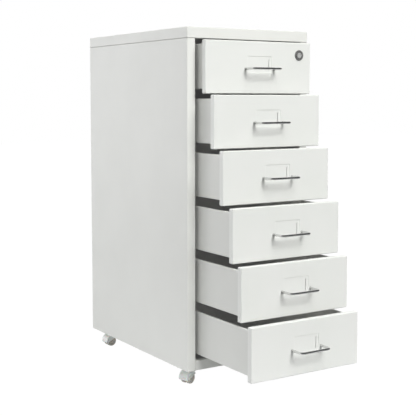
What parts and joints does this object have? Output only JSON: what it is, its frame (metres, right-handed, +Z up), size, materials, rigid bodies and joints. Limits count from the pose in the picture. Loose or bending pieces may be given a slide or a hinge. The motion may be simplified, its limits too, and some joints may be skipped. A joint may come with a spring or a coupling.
{
  "type": "drawer cabinet",
  "caption": "Narrow sheet-steel cabinet with stacked sliding drawers, wire bow handles, pressed label pockets, a cam lock and swivelling twin-wheel castors.",
  "frame": {"origin": "on the floor, under the middle of the whole with its drawers standing open as in the picture", "axes": "+Z up, -Y out of the drawer fronts, +X to the right as seen from the front"},
  "size_m": [0.28, 0.622, 0.679],
  "materials": {
    "shell_powder_coat": "fine white powder coat, satin",
    "drawer_powder_coat": "fine white powder coat, satin",
    "tray_powder_coat": "fine white powder coat, satin",
    "chrome_plate": "bright chrome plate",
    "zinc_plate": "bright zinc plate",
    "glide_nylon": "natural nylon, moulded",
    "castor_plastic": "white moulded nylon",
    "wheel_plastic": "grey moulded plastic tyre"
  },
  "bodies": {
    "cabinet": {"side_panel_left": "shell_powder_coat", "side_panel_right": "shell_powder_coat", "top_cap": "shell_powder_coat", "back_panel": "shell_powder_coat", "base_pan": "shell_powder_coat", "castor_plates": "zinc_plate", "runners_left": "zinc_plate", "runners_right": "zinc_plate", "shell_screws": "zinc_plate"},
    "drawer_1": {"drawer_1_front": "drawer_powder_coat", "drawer_1_tray": "tray_powder_coat", "drawer_1_handle": "chrome_plate", "drawer_1_glides": "glide_nylon", "lock_barrel": "chrome_plate", "lock_nut": "zinc_plate"},
    "drawer_2": {"drawer_2_front": "drawer_powder_coat", "drawer_2_tray": "tray_powder_coat", "drawer_2_handle": "chrome_plate", "drawer_2_glides": "glide_nylon"},
    "drawer_3": {"drawer_3_front": "drawer_powder_coat", "drawer_3_tray": "tray_powder_coat", "drawer_3_handle": "chrome_plate", "drawer_3_glides": "glide_nylon"},
    "drawer_4": {"drawer_4_front": "drawer_powder_coat", "drawer_4_tray": "tray_powder_coat", "drawer_4_handle": "chrome_plate", "drawer_4_glides": "glide_nylon"},
    "drawer_5": {"drawer_5_front": "drawer_powder_coat", "drawer_5_tray": "tray_powder_coat", "drawer_5_handle": "chrome_plate", "drawer_5_glides": "glide_nylon"},
    "drawer_6": {"drawer_6_front": "drawer_powder_coat", "drawer_6_tray": "tray_powder_coat", "drawer_6_handle": "chrome_plate", "drawer_6_glides": "glide_nylon"},
    "lock": {"lock_plug": "zinc_plate", "lock_cam": "zinc_plate", "lock_screw": "zinc_plate"},
    "castor_front_left": {"castor_front_left": "castor_plastic"},
    "wheels_front_left": {"wheels_front_left": "wheel_plastic"},
    "castor_front_right": {"castor_front_right": "castor_plastic"},
    "wheels_front_right": {"wheels_front_right": "wheel_plastic"},
    "castor_rear_left": {"castor_rear_left": "castor_plastic"},
    "wheels_rear_left": {"wheels_rear_left": "wheel_plastic"},
    "castor_rear_right": {"castor_rear_right": "castor_plastic"},
    "wheels_rear_right": {"wheels_rear_right": "wheel_plastic"}
  },
  "joints": [
    {"name": "drawer_1_slide", "type": "slide", "parent": "cabinet", "child": "drawer_1", "axis": [0, -1, 0], "range_m": [-0.033, 0.257]},
    {"name": "drawer_2_slide", "type": "slide", "parent": "cabinet", "child": "drawer_2", "axis": [0, -1, 0], "range_m": [-0.0615, 0.2285]},
    {"name": "drawer_3_slide", "type": "slide", "parent": "cabinet", "child": "drawer_3", "axis": [0, -1, 0], "range_m": [-0.091, 0.199]},
    {"name": "drawer_4_slide", "type": "slide", "parent": "cabinet", "child": "drawer_4", "axis": [0, -1, 0], "range_m": [-0.1225, 0.1675]},
    {"name": "drawer_5_slide", "type": "slide", "parent": "cabinet", "child": "drawer_5", "axis": [0, -1, 0], "range_m": [-0.1495, 0.1405]},
    {"name": "drawer_6_slide", "type": "slide", "parent": "cabinet", "child": "drawer_6", "axis": [0, -1, 0], "range_m": [-0.1805, 0.1095]},
    {"name": "lock_turn", "type": "hinge", "parent": "drawer_1", "child": "lock", "pos_m": [0.093, -0.13355, 0.6301], "axis": [0, 1, 0], "range_deg": [0, 90]},
    {"name": "swivel_front_left", "type": "hinge", "parent": "cabinet", "child": "castor_front_left", "pos_m": [-0.11, -0.06055, 0.034], "axis": [0, 0, 1], "continuous": true},
    {"name": "roll_front_left", "type": "hinge", "parent": "castor_front_left", "child": "wheels_front_left", "pos_m": [-0.11666, -0.06271, 0.011], "axis": [-0.309, 0.9511, 0], "continuous": true},
    {"name": "swivel_front_right", "type": "hinge", "parent": "cabinet", "child": "castor_front_right", "pos_m": [0.11, -0.06055, 0.034], "axis": [0, 0, 1], "continuous": true},
    {"name": "roll_front_right", "type": "hinge", "parent": "castor_front_right", "child": "wheels_front_right", "pos_m": [0.10831, -0.05376, 0.011], "axis": [0.9703, 0.2419, 0], "continuous": true},
    {"name": "swivel_rear_left", "type": "hinge", "parent": "cabinet", "child": "castor_rear_left", "pos_m": [-0.11, 0.26945, 0.034], "axis": [0, 0, 1], "continuous": true},
    {"name": "roll_rear_left", "type": "hinge", "parent": "castor_rear_left", "child": "wheels_rear_left", "pos_m": [-0.117, 0.26921, 0.011], "axis": [-0.0349, 0.9994, 0], "continuous": true},
    {"name": "swivel_rear_right", "type": "hinge", "parent": "cabinet", "child": "castor_rear_right", "pos_m": [0.11, 0.26945, 0.034], "axis": [0, 0, 1], "continuous": true},
    {"name": "roll_rear_right", "type": "hinge", "parent": "castor_rear_right", "child": "wheels_rear_right", "pos_m": [0.11431, 0.27497, 0.011], "axis": [0.788, -0.6157, 0], "continuous": true}
  ]
}
